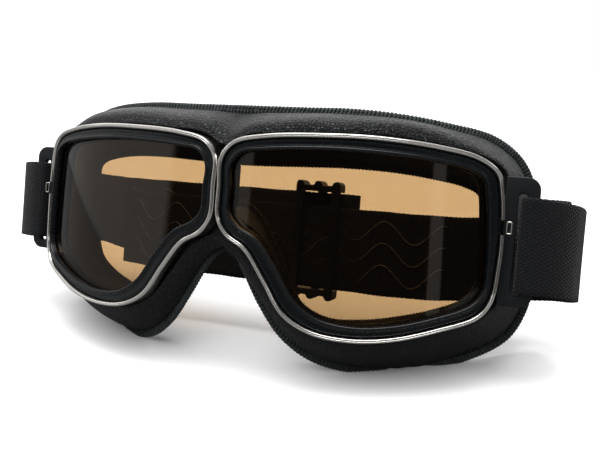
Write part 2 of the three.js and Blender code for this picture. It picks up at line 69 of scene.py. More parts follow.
# The pad, from the middle of the brow round the temple to the nose arch.
PAD_FRONT = [
    [0, 17], [8, 20.8], [20, 22], [35, 22.9], [52, 23.1], [68, 21.8], [79.5, 19.5], [85.5, 15.5], [87.3, 6],
    [88, -5], [87.8, -15], [86.3, -26.5], [80.5, -32.6], [70, -36.6], [57, -40.3], [44.5, -41.5],
    [32.5, -39.4], [24, -34.3], [17, -25], [10.2, -16.2], [4, -12.3], [0, -11.5],
]
PAD_RIM = [
    [0, 30.4], [9, 30.4], [22, 30.5], [36, 30.7], [51.8, 30], [66.5, 28.5], [79.6, 26.2], [88.3, 19.9],
    [93.3, 9], [94.7, -4], [94.5, -16], [93.4, -30], [88, -41], [75.4, -48.4], [59.8, -52.9], [45, -53.6],
    [31.8, -50.8], [21.5, -43.6], [13.6, -32.8], [7.6, -22.6], [3.6, -17.2], [0, -15.6],
]
PAD_MOUTH = [
    [0, 12.7], [8, 12.9], [20, 13.4], [35, 14], [50, 13.8], [63, 12.6], [72, 11], [77, 8.5], [79, 3],
    [79.3, -5], [79.2, -13], [78.5, -22], [75, -28.5], [66, -33], [55, -36.3], [43, -38.6], [31.5, -38.8],
    [22.5, -34.5], [17.5, -26], [12, -14.5], [6.5, -5.5], [0, -1.5],
]
PAD_INNER = [
    [0, 13.5], [8, 15.5], [20, 17], [35, 18], [50, 18], [64, 17], [73, 15.5], [78.5, 12], [80, 6],
    [80.7, -3.5], [80.8, -13], [80, -22], [76.5, -27.5], [67, -32], [56.5, -35], [45.5, -36.3], [34, -34.5],
    [26.5, -29.5], [20, -20], [13.5, -11.5], [7, -7.2], [0, -4.5],
]
PAD_DEPTH, LEATHER, SKIN, ROLL_BULGE = 8.0, 1.0, 0.9, 2.7
COVER_START_DEPTH, COVER_START_OUT, COVER_START_TEMPLE = 4.2, 0.1, 2.5

STRAP_WIDTH, STRAP_THICK, STRAP_Z, STRAIGHT_X = 30.0, 1.3, -7.2, 47.0
# Each strap's side, its place at the back, and the rest of its way across: x, and how far behind.
STRAPS = {
    "left": {
        "side": 1, "rear_y": 17.6, "rear_z": -15.5, "across": [[-47, 0], [-51, 0.5], [-58, 3.2], [-66, 6.2]],
    },
    "right": {"side": -1, "rear_y": 19.25, "rear_z": -10.5, "across": [[-35, 0]]},
}
STRAP_TAIL = [[105.3, 14.2], [101, 9.2], [96.6, 6.8], [93, 6.5]]
STRAP_TURN_X, STRAP_TURN_Y, STRAP_TURN_R, STRAP_TURN_FLAT = 92.75, 4.5, 2.05, 0.62
STRAP_SIDE = [
    [96.6, 2.4], [102.2, 4.6], [107.6, 10.6], [109.9, 19.5], [108.4, 29], [101.6, 37.4], [91, 39.6],
    [80, 34.6], [68, 26.2],
]
STRAP_LEAD_IN = [[11, 3.2], [4, 0.5]]  # before the straight run: how far out and how far behind
STRAP_SINK = (10.8, 19.7)  # points of its path between which a strap sinks to its height at the back
BRACKET = {
    "inner": 86.2, "outer": 96.6, "top": 14.1, "bottom": -26.6, "front": 3.5, "thick": 2.0, "corner": 4.0,
    "edge": 0.45,
}
SLOT = {"inner": 90.2, "outer": 92.8, "top": 8.9, "bottom": -23.3}
CLIP = {"top": 0.0, "bottom": -4.1, "inner": 87.45, "outer": 89.35, "front": 0.45, "wire": 0.5}
TRIM_GAP = (-4.45, 0.35)


def front_y(x):
    return FRONT_Y + x**2 / (2 * FRONT_RADIUS) + FRONT_QUARTIC * x**4


def front_slope(x):
    return x / FRONT_RADIUS + 4 * FRONT_QUARTIC * x**3


def behind_front(x, depth):
    return front_y(x) + depth * np.hypot(1, front_slope(x))


def face_y(x, z):
    return -4 + 22 * (x / 88) ** 2 + 10 * (x / 88) ** 4 - 0.08 * z


def rim_y(x, z):
    """The pad's rim stands forward of the rest of the face side, beside the nose and along the brow."""
    nose = 12.5 * (1 - eased(z, -22, 6)) * np.exp(-(((np.abs(x) - 12) / 30) ** 2))
    brow = 3.5 * eased(z, 0, 25) * np.exp(-(((np.abs(x) - 55) / 25) ** 2))
    return face_y(x, z) - nose - brow


# The row frame: the bridge plate's foremost low edge gives the offset along Y.
bridge_front = behind_front(0.0, REAR_RING_BACK + GAP)
OFFSET_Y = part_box("nose_bridge")[0].y / MM - (
    math.cos(LEAN) * bridge_front + math.sin(LEAN) * BRIDGE_LOW_Z
)
TO_ROW = np.array([
    [1, 0, 0],
    [0, math.cos(LEAN), math.sin(LEAN)],
    [0, -math.sin(LEAN), math.cos(LEAN)],
])
OFFSET = np.array([0, OFFSET_Y, -REST_HEIGHT])


def to_row(points):
    """Points of the goggles' upright frame, in mm, as points of the row frame, in metres."""
    return (np.asarray(points, float) @ TO_ROW.T + OFFSET) * MM


# ---------------- curves
def unit(vectors):
    return vectors / np.linalg.norm(vectors, axis=-1, keepdims=True)


class Smooth:
    """A centripetal Catmull-Rom curve through points, which is also what the CAD uses."""

    def __init__(self, points, closed):
        self.p = np.asarray(points, float)
        self.closed = closed

    def _four(self, i):
        n = len(self.p)
        if self.closed:
            return [self.p[(i + k) % n] for k in (-1, 0, 1, 2)]
        i = np.clip(i, 0, n - 2)
        before = np.where((i > 0)[:, None], self.p[np.maximum(i - 1, 0)], 2 * self.p[0] - self.p[1])
        after = np.where(
            (i + 2 < n)[:, None], self.p[np.minimum(i + 2, n - 1)], 2 * self.p[-1] - self.p[-2]
        )
        return [before, self.p[i], self.p[i + 1], after]

    def __call__(self, t):
        t = np.atleast_1d(np.asarray(t, float))
        n = len(self.p)
        s = t * (n if self.closed else n - 1)
        i = np.floor(s).astype(int)
        if not self.closed:
            i = np.minimum(i, n - 2)
        w = (s - i)[:, None]
        a, b, c, d = self._four(i)
        spans = [np.maximum(np.linalg.norm(q - p, axis=1, keepdims=True), 1e-6) ** 0.5
                 for p, q in ((a, b), (b, c), (c, d))]
        d0, d1, d2 = spans
        m1 = ((b - a) / d0 - (c - a) / (d0 + d1) + (c - b) / d1) * d1
        m2 = ((c - b) / d1 - (d - b) / (d1 + d2) + (d - c) / d2) * d1
        return b + m1 * w + (-3 * b + 3 * c - 2 * m1 - m2) * w**2 + (2 * b - 2 * c + m1 + m2) * w**3

    def along(self, t):
        step = 1e-4
        t = np.atleast_1d(np.asarray(t, float))
        if self.closed:
            d = self((t + step) % 1) - self((t - step) % 1)
        else:
            d = self(np.minimum(t + step, 1)) - self(np.maximum(t - step, 0))
        return unit(d)


def whole(half):
    """A closed outline from its half: the points with x = 0 stay single."""
    return Smooth(half + [[-x, z] for x, z in half[-2:0:-1]], True)


def even(curve, count, closed=True):
    """Parameters that split a curve into equal lengths."""
    t = np.linspace(0, 1, 4000, endpoint=False) if closed else np.linspace(0, 1, 4000)
    p = curve(t)
    if closed:
        p = np.vstack([p, p[:1]])
        t = np.append(t, 1.0)
    s = np.concatenate([[0], np.cumsum(np.linalg.norm(np.diff(p, axis=0), axis=1))])
    goal = np.linspace(0, s[-1], count, endpoint=not closed)
    return np.interp(goal, s, t), s[-1]


def eased(x, low, high):
    u = np.clip((x - low) / (high - low), 0, 1)
    return u * u * (3 - 2 * u)


# ---------------- meshes
LINE_WIDTH = 4.3  # from the lens opening to the trim


def placed(name, data):
    obj = bpy.data.objects.new(name, data)
    bpy.context.scene.collection.objects.link(obj)
    return obj


def mesh_object(name, points, faces, mirror=False):
    """A smooth-shaded mesh object from points of the upright frame."""
    points = np.array(points, float)
    if mirror:
        points[:, 0] *= -1
        faces = [tuple(reversed(f)) for f in faces]
    mesh = bpy.data.meshes.new(name)
    mesh.from_pydata(to_row(points).tolist(), [], [tuple(int(i) for i in f) for f in faces])
    mesh.update()
    obj = placed(name, mesh)
    turn_outwards(mesh)
    mesh.polygons.foreach_set("use_smooth", [True] * len(mesh.polygons))
    return obj


def turn_outwards(mesh):
    bm = bmesh.new()
    bm.from_mesh(mesh)
    bmesh.ops.recalc_face_normals(bm, faces=bm.faces)
    bm.to_mesh(mesh)
    bm.free()


def grid_faces(rows, columns, close_rows, close_columns):
    faces = []
    for i in range(rows if close_rows else rows - 1):
        for k in range(columns if close_columns else columns - 1):
            i2, k2 = (i + 1) % rows, (k + 1) % columns
            faces.append((i * columns + k, i2 * columns + k, i2 * columns + k2, i * columns + k2))
    return faces


def rounded_profile(points, radius, parts=4):
    """A section whose corners are rounded; each point is (line, out, depth[, radius]), where line is 0 at the
    lens opening and 1 at the trim."""
    scale = np.array([LINE_WIDTH, 1, 1])
    core = [np.array(p[:3], float) * scale for p in points]
    radii = [p[3] if len(p) > 3 else radius for p in points]
    made = []
    n = len(core)
    for i in range(n):
        here = core[i]
        before, after = core[i - 1] - here, core[(i + 1) % n] - here
        reach = min(radii[i], 0.45 * np.linalg.norm(before), 0.45 * np.linalg.norm(after))
        start = here + before / np.linalg.norm(before) * reach
        end = here + after / np.linalg.norm(after) * reach
        for u in np.linspace(0, 1, parts):
            made.append((1 - u) ** 2 * start + 2 * u * (1 - u) * here + u**2 * end)
    return np.array(made) / scale


opening_curve, trim_curve = Smooth(OPENING, True), Smooth(TRIM_LINE, True)
FRAME_STEPS = 260
frame_t = even(trim_curve, FRAME_STEPS)[0]


def frame_points(t, profile):
    """Points for each t along a frame and each (line, out, depth) of a profile."""
    rows = []
    for line, out, depth in profile:
        at = (1 - line) * opening_curve(t) + line * trim_curve(t)
        along = unit((1 - line) * opening_curve.along(t) + line * trim_curve.along(t))
        stretch = np.hypot(1, front_slope(at[:, 0]))
        x = at[:, 0] - along[:, 1] * out / stretch
        z = at[:, 1] + along[:, 0] * out
        slope = front_slope(at[:, 0])
        rows.append(np.stack([x - depth * slope / stretch, front_y(x) + depth / stretch, z], 1))
    return np.stack(rows, 1)


def end_caps(rows, columns):
    return [tuple(range(columns)), tuple(range((rows - 1) * columns, rows * columns))]


def frame_ring(name, profile, mirror, span=None):
    """A ring round a lens with this section, or the open stretch of it that span picks."""
    points = frame_points(frame_t if span is None else span, profile)
    rows, columns = points.shape[:2]
    faces = grid_faces(rows, columns, span is None, True)
    if span is not None:
        faces += end_caps(rows, columns)
    return mesh_object(name, points.reshape(-1, 3), faces, mirror=mirror)


def tube(centres, radius, sides=8, closed=False):
    """Points and faces of a tube along centres; radius is a number or one for each point."""
    centres = np.asarray(centres, float)
    n = len(centres)
    if closed:
        along = np.roll(centres, -1, 0) - np.roll(centres, 1, 0)
    else:
        along = np.gradient(centres, axis=0)
    along = unit(along)
    side = unit(np.cross(along, [0.13, 0.31, 0.94]))  # a direction that no tube runs in
    other = np.cross(along, side)
    angles = np.linspace(0, 2 * np.pi, sides, endpoint=False)
    radius = np.broadcast_to(np.asarray(radius, float), (n,))
    points = centres[:, None] + radius[:, None, None] * (
        np.cos(angles)[None, :, None] * side[:, None] + np.sin(angles)[None, :, None] * other[:, None]
    )
    faces = grid_faces(n, sides, closed, True)
    if not closed:
        faces += end_caps(n, sides)
    return points.reshape(-1, 3), faces


class Bundle:
    """Several meshes gathered into one."""

    def __init__(self):
        self.points, self.faces, self.count = [], [], 0

    def add(self, points, faces):
        self.points.append(np.asarray(points, float))
        self.faces += [tuple(i + self.count for i in f) for f in faces]
        self.count += len(points)

    def object(self, name, mirror=False):
        return mesh_object(name, np.vstack(self.points), self.faces, mirror=mirror)


def give(obj, look, body="goggles", node=None):
    """Finishes a piece: its material, its body and the CAD node that it stands for."""
    obj.data.materials.clear()
    obj.data.materials.append(look)
    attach(obj, body)
    if node:
        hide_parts(node)
    return obj


# ---------------- materials
class Nodes:
    """A node tree, with short names for what the looks below use."""

    def __init__(self, name, world=False):
        self.material = (bpy.data.worlds if world else bpy.data.materials).new(name)
        self.material.use_nodes = True
        self.tree = self.material.node_tree
        self.tree.nodes.clear()
        self.out = self.tree.nodes.new("ShaderNodeOutputWorld" if world else "ShaderNodeOutputMaterial")
        self.place = self.new("ShaderNodeTexCoord").outputs["Generated" if world else "Object"]

    def new(self, kind, **values):
        node = self.tree.nodes.new(kind)
        for key, value in values.items():
            setattr(node, key, value)
        return node

    def link(self, source, target):
        self.tree.links.new(source, target)

    def feed(self, target, value):
        if isinstance(value, bpy.types.NodeSocket):
            self.link(value, target)
        else:
            target.default_value = value

    def math(self, operation, a, b=0.0):
        node = self.new("ShaderNodeMath", operation=operation)
        self.feed(node.inputs[0], a)
        self.feed(node.inputs[1], b)
        return node.outputs[0]

    def times(self, a, b):
        return self.math("MULTIPLY", a, b)

    def scaled(self, value, factor, offset):
        return self.math("ADD", self.times(value, factor), offset)

    def noise(self, size, detail=3.0, rough=0.5, distort=0.0):
        node = self.new("ShaderNodeTexNoise")
        self.link(self.place, node.inputs["Vector"])
        node.inputs["Scale"].default_value = 1 / size
        node.inputs["Detail"].default_value = detail
        node.inputs["Roughness"].default_value = rough
        node.inputs["Distortion"].default_value = distort
        return node.outputs["Fac"]

    def cells(self, size, feature="F1"):
        node = self.new("ShaderNodeTexVoronoi", feature=feature)
        self.link(self.place, node.inputs["Vector"])
        node.inputs["Scale"].default_value = 1 / size
        return node.outputs["Distance"]

    def spread(self, value, low, high, to_low=0.0, to_high=1.0):
        node = self.new("ShaderNodeMapRange")
        self.feed(node.inputs["Value"], value)
        for key, number in (("From Min", low), ("From Max", high), ("To Min", to_low), ("To Max", to_high)):
            node.inputs[key].default_value = number
        return node.outputs["Result"]

    def colours(self, value, first, second):
        node = self.new("ShaderNodeMix", data_type="RGBA")
        self.feed(node.inputs["Factor"], value)
        node.inputs["A"].default_value = (*first, 1)
        node.inputs["B"].default_value = (*second, 1)
        return node.outputs["Result"]

    def bump(self, height, depth, strength=1.0, under=None):
        node = self.new("ShaderNodeBump")
        node.inputs["Strength"].default_value = strength
        node.inputs["Distance"].default_value = depth
        self.feed(node.inputs["Height"], height)
        if under is not None:
            self.link(under, node.inputs["Normal"])
        return node.outputs["Normal"]

    def blend(self, share, first, second):
        """Ends the tree in a mix of two shaders."""
        mix = self.new("ShaderNodeMixShader")
        for number, source in enumerate((share, first.outputs[0], second.outputs[0])):
            self.link(source, mix.inputs[number])
        self.link(mix.outputs[0], self.out.inputs["Surface"])

    def shader(self, colour, roughness, normal=None, **constants):
        node = self.new("ShaderNodeBsdfPrincipled")
        self.link(colour, node.inputs["Base Color"])
        self.feed(node.inputs["Roughness"], roughness)
        if normal is not None:
            self.link(normal, node.inputs["Normal"])
        for key, value in constants.items():
            node.inputs[key.replace("_", " ")].default_value = value
        self.link(node.outputs[0], self.out.inputs["Surface"])
        return node


def leather_look(name, grain, first, second, rough, wear):
    """Embossed synthetic leather: pebbled grain, soft creases and slightly polished high spots."""
    n = Nodes(name)
    pebbles = n.cells(grain, "DISTANCE_TO_EDGE")
    pebble_height = n.spread(pebbles, 0.0, 0.25)
    fine = n.noise(grain * 0.4, 4, 0.6)
    creases = n.noise(grain * 9, 5, 0.62, distort=0.6)
    broad = n.noise(0.018, 3)
    # colour is lighter on the pebbles' tops and darker in the grooves between them: painted shade, varied by
    # the broad noise
    colour = n.colours(n.times(pebble_height, broad), first, second)
    polish = n.math("ADD", n.times(fine, 0.14), n.times(broad, wear))
    roughness = n.math("ADD", polish, rough)
    normal = n.bump(pebble_height, 0.00036, 1.0)
    normal = n.bump(creases, 0.0004, 0.35, normal)
    normal = n.bump(fine, 0.00008, 0.7, normal)
    n.shader(colour, roughness, normal, Specular_IOR_Level=0.5, Sheen_Weight=0.04, Sheen_Roughness=0.5)
    return n.material


def moulded_look(name, first, second, rough, grain, depth):
    """Injection-moulded plastic with a fine eroded grain and faint handling marks."""
    n = Nodes(name)
    fine = n.noise(grain, 4, 0.6)
    marks = n.noise(0.006, 6, 0.7, distort=1.5)
    scuffs = n.spread(marks, 0.55, 0.75)
    colour = n.colours(n.times(scuffs, fine), first, second)
    roughness = n.math("ADD", n.times(fine, 0.1), n.scaled(scuffs, 0.08, rough))
    n.shader(colour, roughness, n.bump(fine, depth, 0.5), Specular_IOR_Level=0.5)
    return n.material


def chrome_look():
    """Bright plating over a rolled band: a warm cast and the faint waviness of pressed metal."""
    n = Nodes("chrome_plating")
    haze = n.noise(0.004, 5, 0.6)
    colour = n.colours(haze, (0.95, 0.91, 0.85), (0.99, 0.97, 0.93))
    roughness = n.scaled(haze, 0.12, 0.12)
    normal = n.bump(n.noise(0.0022, 3), 0.00003, 0.3)
    n.shader(colour, roughness, normal, Metallic=1.0)
    return n.material


def lens_look():
    """Amber-brown tint that passes light straight through, under a hard glossy coat with faint smears."""
    n = Nodes("amber_lens")
    smear = n.noise(0.012, 5, 0.65, distort=2.0)
    tint = n.new("ShaderNodeBsdfTransparent")
    n.link(n.colours(smear, (0.64, 0.505, 0.342), (0.653, 0.518, 0.354)), tint.inputs["Color"])
    gloss = n.new("ShaderNodeBsdfGlossy")
    gloss.inputs["Color"].default_value = (1, 1, 1, 1)
    n.feed(gloss.inputs["Roughness"], n.spread(smear, 0.3, 0.8, 0.01, 0.04))
    facing = n.new("ShaderNodeLayerWeight").outputs["Facing"]
    grazing = n.math("POWER", facing, 5.0)
    n.blend(n.spread(grazing, 0.0, 1.0, 0.045, 1.0), tint, gloss)
    return n.material


def rubber_look():
    """Soft black rubber with a faint bloom."""
    n = Nodes("seal_rubber")
    fine = n.noise(0.0004, 4, 0.6)
    bloom = n.noise(0.006, 4)
    n.shader(
        n.colours(bloom, (0.008, 0.008, 0.009), (0.018, 0.018, 0.019)),
        n.scaled(fine, 0.15, 0.6), n.bump(fine, 0.00003, 0.5),
    )
    return n.material


def foam_look():
    """Open foam: pores darkened by painted shade, between paler walls."""
    n = Nodes("open_cell_foam")
    pores = n.cells(0.0009)
    n.shader(
        n.colours(pores, (0.02, 0.02, 0.021), (0.05, 0.05, 0.052)), 0.95, n.bump(pores, 0.0003, 0.8),
        Sheen_Weight=0.2, Sheen_Roughness=0.6,
    )
    return n.material


def thread_look():
    """Plied polyester thread: strands across its run, dark grey-green, with painted highlight lightening the
    raised fibres.
    """
    n = Nodes("stitching_thread")
    fibres = n.noise(0.00018, 4, 0.7)
    tone = n.noise(0.003, 3)
    # the dark grey-green is the thread's own colour; the lighter colour on the raised fibres is painted
    # highlight
    colour = n.colours(n.times(fibres, tone), (0.006, 0.008, 0.0085), (0.08, 0.095, 0.095))
    n.shader(colour, 0.62, n.bump(fibres, 0.00008, 0.8), Sheen_Weight=0.25, Sheen_Roughness=0.4)
    return n.material


def webbing_look():
    """Woven elastic: ribs across the band, each crimped where the warp passes over and under."""
    n = Nodes("elastic_webbing")
    along = n.new("ShaderNodeAttribute", attribute_name="band").outputs["Vector"]
    apart = n.new("ShaderNodeSeparateXYZ")
    n.link(along, apart.inputs[0])
    length, across = apart.outputs[0], apart.outputs[1]
    wander = n.times(n.noise(0.003, 3), 0.9)
    rib_place = n.math("ADD", length, wander)
    ribs = n.math("SINE", n.times(rib_place, 2 * math.pi / 0.85))
    half = n.times(n.math("FLOOR", n.math("DIVIDE", across, 0.62)), math.pi)
    crimp = n.math("SINE", n.math("ADD", n.times(rib_place, 2 * math.pi / 1.9), half))
    warp = n.math("SINE", n.times(across, 2 * math.pi / 0.62))
    weave = n.math("ADD", n.times(ribs, 0.45), n.math("ADD", crimp, n.times(warp, 0.6)))
    height = n.spread(weave, -2.0, 2.0)
    fuzz = n.noise(0.00025, 4, 0.7)
    # colour follows the weave's height: darker between the ribs and lighter on their crests, painted shade
    # and highlight, varied by the fuzz
    colour = n.colours(n.times(height, fuzz), (0.0008, 0.001, 0.0013), (0.024, 0.0255, 0.029))
    normal = n.bump(height, 0.0004, 1.0)
    normal = n.bump(fuzz, 0.00005, 0.6, normal)
    n.shader(colour, 0.88, normal, Specular_IOR_Level=0.25, Sheen_Weight=0.12, Sheen_Roughness=0.45)
    return n.material


def silicone_look():
    """Smooth grey silicone laid on in beads."""
    n = Nodes("grip_silicone")
    wave = n.noise(0.002, 3)
    n.shader(
        n.colours(wave, (0.08, 0.08, 0.085), (0.16, 0.16, 0.165)),
        n.scaled(wave, 0.1, 0.22), n.bump(wave, 0.0001, 0.4), Specular_IOR_Level=0.6,
    )
    return n.material


LEATHER_LOOK = leather_look(
    "pad_leather", 0.0011, (0.0012, 0.0019, 0.0026), (0.004, 0.0052, 0.0062), rough=0.27, wear=0.1
)
LINING_LOOK = leather_look(
    "lining_leather", 0.0007, (0.003, 0.0032, 0.0036), (0.009, 0.0095, 0.010), rough=0.42, wear=0.1
)
BEZEL_LOOK = moulded_look(
    "bezel_plastic", (0.0025, 0.0035, 0.0045), (0.007, 0.009, 0.011), rough=0.22, grain=0.0005, depth=0.00001
)
BRACKET_LOOK = moulded_look(
    "bracket_plastic", (0.004, 0.005, 0.006), (0.011, 0.0125, 0.014), rough=0.46, grain=0.00045, depth=0.00004
)
SLIDER_LOOK = moulded_look(
    "slider_plastic", (0.004, 0.0045, 0.005), (0.011, 0.012, 0.013), rough=0.36, grain=0.0005, depth=0.00002
)
CHROME_LOOK = chrome_look()
LENS_LOOK = lens_look()
RUBBER_LOOK = rubber_look()
FOAM_LOOK = foam_look()
THREAD_LOOK = thread_look()
WEBBING_LOOK = webbing_look()
SILICONE_LOOK = silicone_look()

# ---------------- lens frames
BEZEL_PROFILE = rounded_profile([
    (0, 0.0, 0.75), (0, 0.12, 0.12), (0, 0.62, -0.12, 0.5), (0, 1.12, 0.12), (0, 1.42, 0.62), (0, 1.75, 0.72),
    (0.62, 0.0, 0.6, 0.6), (1, -1.5, 0.62), (1, -1.02, 0.95), (1, -1.05, 1.6, 0.1), (1, 0.05, 1.6, 0.1),
    (1, 0.05, 6.0), (0, 1.9, 6.0), (0, 1.9, 2.2, 0.1), (0, 0, 2.2),
], 0.28)
TRIM_PROFILE = rounded_profile([
    (1, -0.72, 1.3), (1, -0.76, 0.45), (1, -0.5, -0.12), (1, -0.12, -0.3), (1, 0.02, -0.14, 0.06),
    (1, 0.18, -0.3), (1, 0.55, -0.15), (1, 0.8, 0.35), (1, 0.8, 5.0), (1, 0.38, 5.0), (1, 0.38, 1.3),
], 0.16)
SEAL_PROFILE = rounded_profile([(0, 0.5, 4.4), (0, 1.6, 4.4), (0, 1.6, 5.6), (0, 0.5, 5.6)], 0.35)
REAR_RING_PROFILE = rounded_profile([
    (0, 0.4, 6.3), (1, -0.3, 6.3), (1, -0.3, 7.5), (0.5, 0.0, 7.5), (0.45, 0.0, 7.15), (0.3, 0.0, 7.15),
    (0.25, 0.0, 7.5), (0, 0.4, 7.5),
], 0.22)


LENS_OUT, LENS_DEPTH = 1.35, (2.5, 4.1)  # past the opening, and from the front


def lens_mesh(name, mirror):
    """The lens as a curved plate of even columns, so that its reflections run clean."""
    edge_t = even(opening_curve, 400)[0]
    edge = frame_points(edge_t, np.array([[0, LENS_OUT, 0]]))[:, 0]
    low, high = edge[:, 0].min() + 0.02, edge[:, 0].max() - 0.02
    columns, rows = 150, 24
    near, far = LENS_DEPTH
    grid = []
    for i in range(columns):
        x = low + (high - low) * (1 - math.cos(math.pi * i / (columns - 1))) / 2
        nxt = np.roll(edge, -1, 0)
        cross = (edge[:, 0] <= x) != (nxt[:, 0] <= x)
        share = (x - edge[cross, 0]) / (nxt[cross, 0] - edge[cross, 0])
        heights = edge[cross, 2] + share * (nxt[cross, 2] - edge[cross, 2])
        slope = front_slope(x)
        stretch = math.hypot(1, slope)
        loop = []
        for depth, order in ((near, 1), (far, -1)):
            for z in np.linspace(heights.min(), heights.max(), rows)[::order]:
                loop.append((x - depth * slope / stretch, front_y(x) + depth / stretch, z))
        grid.append(loop)
    points = np.array(grid).reshape(-1, 3)
    size = 2 * rows
    faces = grid_faces(columns, size, False, True)
    for first in (0, (columns - 1) * size):
        last = first + size - 1
        faces += [(first + k, first + k + 1, last - k - 1, last - k) for k in range(rows - 1)]
    obj = mesh_object(name, points, faces, mirror=mirror)
    sharpen(obj, 50)
    return obj


def sharpen(obj, degrees):
    """Marks edges sharper than the angle, so that flat and curved faces meet crisply."""
    bm = bmesh.new()
    bm.from_mesh(obj.data)
    for edge in bm.edges:
        if len(edge.link_faces) == 2 and edge.calc_face_angle(0) > math.radians(degrees):
            edge.smooth = False
    bm.to_mesh(obj.data)
    bm.free()


def trim_span():
    """Parameters of the trim band, from one side of its gap at the temple round to the other."""
    fine = np.linspace(0, 1, 6000, endpoint=False)
    at = trim_curve(fine)
    inside = (at[:, 0] > 80) & (at[:, 1] > TRIM_GAP[0]) & (at[:, 1] < TRIM_GAP[1])
    first, last = fine[inside].min(), fine[inside].max()
    stretch = Smooth(trim_curve(np.linspace(last, first + 1, 400) % 1), False)
    span = even(stretch, FRAME_STEPS, False)[0]
    return (last + span * (first + 1 - last)) % 1


TRIM_SPAN = trim_span()
SIDES = (("left", False), ("right", True))
for side, mirror in SIDES:
    moulding = frame_ring(f"bezel_{side}_moulding", BEZEL_PROFILE, mirror)
    give(moulding, BEZEL_LOOK, node=f"bezel_{side}")
    band = frame_ring(f"trim_{side}_band", TRIM_PROFILE, mirror, TRIM_SPAN)
    sharpen(band, 55)
    give(band, CHROME_LOOK, node=f"trim_band_{side}")
    give(frame_ring(f"seal_{side}", SEAL_PROFILE, mirror), RUBBER_LOOK, node=f"lens_seal_{side}")
    clamp = frame_ring(f"clamp_ring_{side}", REAR_RING_PROFILE, mirror)
    give(clamp, BEZEL_LOOK, node=f"rear_ring_{side}")
    give(lens_mesh(f"amber_lens_{side}", mirror), LENS_LOOK, node=f"lens_{side}")


# ---------------- flat plates, from filled curves
def rounded_loop(x0, z0, x1, z1, radii, parts=8):
    """A rectangle in x, z with a radius for each corner: low right, high right, high left, low left."""
    corners = [(x1, z0, -1, 1), (x1, z1, -1, -1), (x0, z1, 1, -1), (x0, z0, 1, 1)]
    loop = []
    for (x, z, sx, sz), start, r in zip(corners, (-90, 0, 90, 180), radii):
        for u in range(parts + 1 if r > 0 else 1):
            a = math.radians(start + 90 * u / parts)
            loop.append((x + sx * r + r * math.cos(a), z + sz * r + r * math.sin(a)))
    return loop


def plate(name, loops, near, far, edge, mirror=False):
    """A plate between two depths, cut from outlines in x, z, with rounded edges."""
    curve = bpy.data.curves.new(name, "CURVE")
    curve.dimensions = "2D"
    curve.fill_mode = "BOTH"
    curve.extrude = (far - near) / 2 - edge
    curve.bevel_depth = edge
    curve.bevel_resolution = 3
    curve.offset = -edge
    for loop in loops:
        spline = curve.splines.new("POLY")
        spline.points.add(len(loop) - 1)
        for point, (x, z) in zip(spline.points, loop):
            point.co = (x, z, 0, 1)
        spline.use_cyclic_u = True
    holder = placed(name, curve)
    bpy.context.view_layer.update()
    mesh = bpy.data.meshes.new_from_object(holder.evaluated_get(bpy.context.evaluated_depsgraph_get()))
    bpy.data.objects.remove(holder)
    bm = bmesh.new()
    bm.from_mesh(mesh)
    bmesh.ops.remove_doubles(bm, verts=bm.verts, dist=1e-4)
    points = [(v.co.x, (near + far) / 2 - v.co.z, v.co.y) for v in bm.verts]
    faces = [tuple(v.index for v in f.verts) for f in bm.faces]
    bm.free()
    obj = mesh_object(name, points, faces, mirror=mirror)
    sharpen(obj, 40)
    return obj


def edges(part, inset=0.0):
    return part["inner"] + inset, part["bottom"] + inset, part["outer"] - inset, part["top"] - inset


def bracket(side, mirror):
    """The slotted plate that carries the strap; its outer corners are round."""
    c, front = BRACKET["corner"], BRACKET["front"]
    outlines = [rounded_loop(*edges(BRACKET), (c, c, 0, 0)), rounded_loop(*edges(SLOT), [1.2] * 4)]
    piece = plate(f"bracket_{side}", outlines, front, front + BRACKET["thick"], BRACKET["edge"], mirror)
    give(piece, BRACKET_LOOK, node=f"strap_bracket_{side}")


def clip(side, mirror):
    """The small wire loop across the gap in the trim band."""
    inset = CLIP["wire"] / 2
    outline = rounded_loop(*edges(CLIP, inset), [0.35] * 4, 5)
    wire = [(x, CLIP["front"] + inset, z) for x, z in outline]
    points, faces = tube(wire, inset, 10, closed=True)
    piece = mesh_object(f"clip_wire_{side}", points, faces, mirror=mirror)
    give(piece, CHROME_LOOK, body=f"clip_{side}", node=f"clip_{side}")


def bridge():
    """The plate behind the nose that joins the frames."""
    outline = rounded_loop(-BRIDGE_HALF, BRIDGE_LOW_Z, BRIDGE_HALF, BRIDGE_TOP_Z, [1.5] * 4)
    piece = plate("bridge_plate", [outline], bridge_front, bridge_front + BRIDGE_THICK, 0.35)
    give(piece, BEZEL_LOOK, node="nose_bridge")


for side, mirror in SIDES:
    bracket(side, mirror)
    clip(side, mirror)
bridge()

# ---------------- the face pad
PAD_STEPS = 300
STITCH_LIFT = 0.55  # of the thread's core above the sewn edge
STITCH_ROOM = 1.3  # left for the stitches where the pad rests on the floor
FOAM_SHARE = 0.74  # of the skin's section
CLOTH_FRAMES, CLOTH_CAP = 20, 0.45
COVER_PARTS, LINING_PARTS, WALL_PARTS, BASE_PARTS = 16, 12, 7, 5
BASE_DEPTH, BASE_INSET = 8.7, 1.5
pad_guides = [whole(g) for g in (PAD_FRONT, PAD_RIM, PAD_MOUTH, PAD_INNER)]
UP = np.array([0, -math.sin(LEAN), math.cos(LEAN)])


def rest_on(points, clearance=0.0):
    """Lifts what would be under the surface the goggles stand on."""
    points = np.array(points, float)
    short = np.maximum(REST_HEIGHT + clearance - points @ UP, 0)
    return points + short[..., None] * UP


